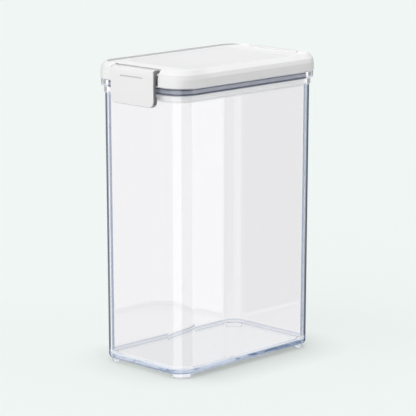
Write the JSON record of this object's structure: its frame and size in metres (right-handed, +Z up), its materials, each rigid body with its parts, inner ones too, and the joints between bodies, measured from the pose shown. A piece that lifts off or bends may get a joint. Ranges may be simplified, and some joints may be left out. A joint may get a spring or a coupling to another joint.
{
  "type": "cereal container",
  "caption": "Tall clear kitchen keeper with a stepped rim, corner feet and a white lid that seals with a soft ring and clips down with end latches.",
  "frame": {"origin": "on the surface that the feet stand on, in the middle of the footprint", "axes": "+Z up through the lid, X along the long side with a latch at each end, Y along the short side"},
  "size_m": [0.1692, 0.101, 0.2444],
  "materials": {
    "clear_plastic": "clear, glossy, with a faint blue cast at the edges",
    "white_lid": "satin moulded white",
    "white_liner": "satin moulded white",
    "seal_silicone": "soft blue-grey silicone",
    "white_latch": "satin moulded white",
    "hinge_pin": "smooth"
  },
  "bodies": {
    "container": {"container_body": "clear_plastic"},
    "lid": {"lid_cover": "white_lid", "lid_liner": "white_liner", "lid_seal": "seal_silicone", "left_hinge_pin": "hinge_pin", "right_hinge_pin": "hinge_pin"},
    "left_latch_flap": {"left_latch": "white_latch"},
    "right_latch_flap": {"right_latch": "white_latch"}
  },
  "joints": [
    {"name": "lid_lift", "type": "slide", "parent": "container", "child": "lid", "axis": [0, 0, 1], "range_m": [0, 0.02]},
    {"name": "left_latch_hinge", "type": "hinge", "parent": "lid", "child": "left_latch_flap", "pos_m": [-0.079, 0, 0.24], "axis": [0, 1, 0], "range_deg": [0, 95.5]},
    {"name": "right_latch_hinge", "type": "hinge", "parent": "lid", "child": "right_latch_flap", "pos_m": [0.079, 0, 0.24], "axis": [0, -1, 0], "range_deg": [0, 95.5]}
  ],
  "couplings": [
    {"joint": "left_latch_hinge", "follows": "lid_lift", "rad_per_m": 83},
    {"joint": "right_latch_hinge", "follows": "lid_lift", "rad_per_m": 83}
  ]
}
